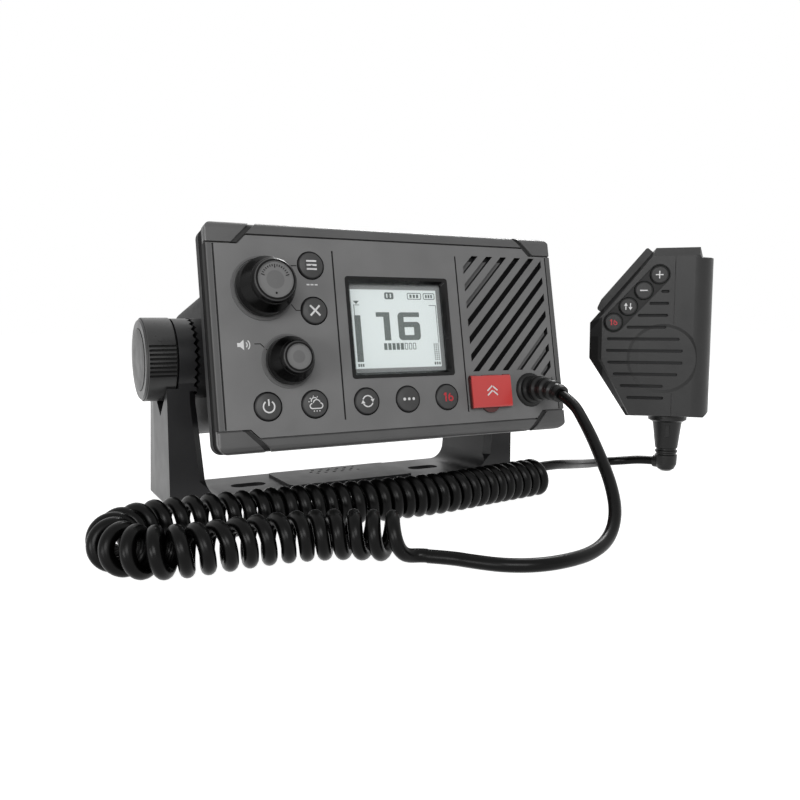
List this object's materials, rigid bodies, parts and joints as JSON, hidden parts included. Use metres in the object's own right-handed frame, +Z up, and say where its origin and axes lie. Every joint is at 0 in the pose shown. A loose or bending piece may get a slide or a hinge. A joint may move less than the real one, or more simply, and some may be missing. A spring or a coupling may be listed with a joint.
{
  "type": "vhf marine radio",
  "caption": "Fixed-mount marine radio with a display, keys and two dials, tilting in a yoke bracket, with a handset on a curly cord.",
  "frame": {"origin": "centre of the bracket base's underside", "axes": "+Z up, +X to the right seen from the front, +Y to the back, so the face looks along -Y"},
  "size_m": [0.3167, 0.2211, 0.1177],
  "materials": {
    "bracket_plastic": "fine matt grain",
    "housing_metal": "black powder coat",
    "rim_plastic": "satin",
    "seal_rubber": "matt",
    "face_plastic": "fine matt grain",
    "trim_plastic": "satin",
    "frame_plastic": "gloss",
    "window_glass": "clear",
    "display": "lit liquid crystal",
    "key_rubber": "soft matt",
    "knob_plastic": "soft-touch",
    "shaft_metal": "brushed",
    "board": "solder mask",
    "part_black": "matt",
    "cover_red": "satin red",
    "brass": "turned",
    "steel": "plated",
    "grip_rubber": "matt",
    "cap_plastic": "satin",
    "cord_rubber": "gloss",
    "cloth": "woven",
    "handset_plastic": "fine matt grain"
  },
  "bodies": {
    "yoke": {"bracket": "bracket_plastic", "cord_coil": "cord_rubber", "cord_lead": "cord_rubber", "cord_tail": "cord_rubber"},
    "radio": {"rear_housing": "housing_metal", "front_housing": "rim_plastic", "front_seal": "seal_rubber", "rear_seal": "seal_rubber", "fascia": "face_plastic", "top_trim": "trim_plastic", "bottom_trim": "trim_plastic", "display_frame": "frame_plastic", "display_window": "window_glass", "display_module": "display", "key_membrane": "key_rubber", "encoders": "part_black", "cover_pin": "steel", "speaker_cloth": "cloth", "speaker": "part_black", "front_board": "board", "main_board": "board", "antenna_socket": "steel", "power_inlet": "part_black", "data_inlet": "part_black", "gimbal_inserts": "brass", "housing_screws": "steel", "cord_gland": "part_black", "cord_boot": "cord_rubber"},
    "left_clamp": {"gimbal_grip_left": "grip_rubber", "gimbal_cap_left": "cap_plastic", "gimbal_stud_left": "steel"},
    "right_clamp": {"gimbal_grip_right": "grip_rubber", "gimbal_cap_right": "cap_plastic", "gimbal_stud_right": "steel"},
    "channel_push": {"channel_shaft": "shaft_metal"},
    "channel_dial": {"channel_knob": "knob_plastic"},
    "volume_push": {"volume_shaft": "shaft_metal"},
    "volume_dial": {"volume_knob": "knob_plastic"},
    "cover": {"emergency_cover": "cover_red"},
    "emergency_button": {"emergency_key": "cover_red"},
    "handset": {"handset_front": "handset_plastic", "handset_back": "handset_plastic", "handset_speaker": "part_black", "handset_board": "board", "handset_screws": "steel", "hanger_stud": "handset_plastic", "handset_boot": "cord_rubber"},
    "talk_button": {"talk_lever": "key_rubber"},
    "key_power_cap": {"key_power": "key_rubber"},
    "key_weather_cap": {"key_weather": "key_rubber"},
    "key_scan_cap": {"key_scan": "key_rubber"},
    "key_dots_cap": {"key_dots": "key_rubber"},
    "key_sixteen_cap": {"key_sixteen": "key_rubber"},
    "key_menu_cap": {"key_menu": "key_rubber"},
    "key_exit_cap": {"key_exit": "key_rubber"},
    "handset_key_up_cap": {"handset_key_up": "key_rubber"},
    "handset_key_down_cap": {"handset_key_down": "key_rubber"},
    "handset_key_arrows_cap": {"handset_key_arrows": "key_rubber"},
    "handset_key_sixteen_cap": {"handset_key_sixteen": "key_rubber"}
  },
  "joints": [
    {"name": "tilt", "type": "hinge", "parent": "yoke", "child": "radio", "pos_m": [0, -0.007, 0.064], "axis": [-1, 0, 0], "range_deg": [-10.5, 14], "deforming": ["cord_lead"]},
    {"name": "left_clamp_turn", "type": "hinge", "parent": "radio", "child": "left_clamp", "pos_m": [-0.09, -0.007, 0.064], "axis": [1, 0, 0], "continuous": true},
    {"name": "right_clamp_turn", "type": "hinge", "parent": "radio", "child": "right_clamp", "pos_m": [0.09, -0.007, 0.064], "axis": [1, 0, 0], "continuous": true},
    {"name": "channel_press", "type": "slide", "parent": "radio", "child": "channel_push", "axis": [0, 0.9833, -0.1822], "range_m": [0, 0.0006], "stiffness_N_per_m": 800, "springref_m": -0.0008},
    {"name": "channel_turn", "type": "hinge", "parent": "channel_push", "child": "channel_dial", "pos_m": [-0.0593, -0.07054, 0.09429], "axis": [0, 0.9833, -0.1822], "continuous": true},
    {"name": "volume_press", "type": "slide", "parent": "radio", "child": "volume_push", "axis": [0, 0.9833, -0.1822], "range_m": [0, 0.0006], "stiffness_N_per_m": 800, "springref_m": -0.0008},
    {"name": "volume_turn", "type": "hinge", "parent": "volume_push", "child": "volume_dial", "pos_m": [-0.0514, -0.07566, 0.06666], "axis": [0, 0.9833, -0.1822], "continuous": true},
    {"name": "key_power_press", "type": "slide", "parent": "radio", "child": "key_power_cap", "axis": [0, 0.9833, -0.1822], "range_m": [0, 0.0004], "stiffness_N_per_m": 400, "springref_m": -0.0006},
    {"name": "key_weather_press", "type": "slide", "parent": "radio", "child": "key_weather_cap", "axis": [0, 0.9833, -0.1822], "range_m": [0, 0.0004], "stiffness_N_per_m": 400, "springref_m": -0.0006},
    {"name": "key_scan_press", "type": "slide", "parent": "radio", "child": "key_scan_cap", "axis": [0, 0.9833, -0.1822], "range_m": [0, 0.0004], "stiffness_N_per_m": 400, "springref_m": -0.0006},
    {"name": "key_dots_press", "type": "slide", "parent": "radio", "child": "key_dots_cap", "axis": [0, 0.9833, -0.1822], "range_m": [0, 0.0004], "stiffness_N_per_m": 400, "springref_m": -0.0006},
    {"name": "key_sixteen_press", "type": "slide", "parent": "radio", "child": "key_sixteen_cap", "axis": [0, 0.9833, -0.1822], "range_m": [0, 0.0004], "stiffness_N_per_m": 400, "springref_m": -0.0006},
    {"name": "key_menu_press", "type": "slide", "parent": "radio", "child": "key_menu_cap", "axis": [0, 0.9833, -0.1822], "range_m": [0, 0.0004], "stiffness_N_per_m": 400, "springref_m": -0.0006},
    {"name": "key_exit_press", "type": "slide", "parent": "radio", "child": "key_exit_cap", "axis": [0, 0.9833, -0.1822], "range_m": [0, 0.0004], "stiffness_N_per_m": 400, "springref_m": -0.0006},
    {"name": "cover_lift", "type": "hinge", "parent": "radio", "child": "cover", "pos_m": [0.0394, -0.07135, 0.05564], "axis": [-1, 0, 0], "range_deg": [0, 90], "stiffness_Nm_per_rad": 0.002, "springref_deg": -22.92},
    {"name": "emergency_press", "type": "slide", "parent": "radio", "child": "emergency_button", "axis": [0, 0.9833, -0.1822], "range_m": [0, 0.0004], "stiffness_N_per_m": 400, "springref_m": -0.0006},
    {"name": "handset_lift", "type": "slide", "parent": "yoke", "child": "handset", "axis": [0, 0, 1], "range_m": [0, 0.06], "deforming": ["cord_tail"]},
    {"name": "talk_press", "type": "slide", "parent": "handset", "child": "talk_button", "axis": [0.5491, -0.5302, -0.646], "range_m": [0, 0.0015], "stiffness_N_per_m": 600, "springref_m": -0.001},
    {"name": "handset_key_up_press", "type": "slide", "parent": "handset", "child": "handset_key_up_cap", "axis": [0.6947, 0.7193, 0], "range_m": [0, 0.0004], "stiffness_N_per_m": 400, "springref_m": -0.0006},
    {"name": "handset_key_down_press", "type": "slide", "parent": "handset", "child": "handset_key_down_cap", "axis": [0.6947, 0.7193, 0], "range_m": [0, 0.0004], "stiffness_N_per_m": 400, "springref_m": -0.0006},
    {"name": "handset_key_arrows_press", "type": "slide", "parent": "handset", "child": "handset_key_arrows_cap", "axis": [0.6947, 0.7193, 0], "range_m": [0, 0.0004], "stiffness_N_per_m": 400, "springref_m": -0.0006},
    {"name": "handset_key_sixteen_press", "type": "slide", "parent": "handset", "child": "handset_key_sixteen_cap", "axis": [0.6947, 0.7193, 0], "range_m": [0, 0.0004], "stiffness_N_per_m": 400, "springref_m": -0.0006}
  ]
}
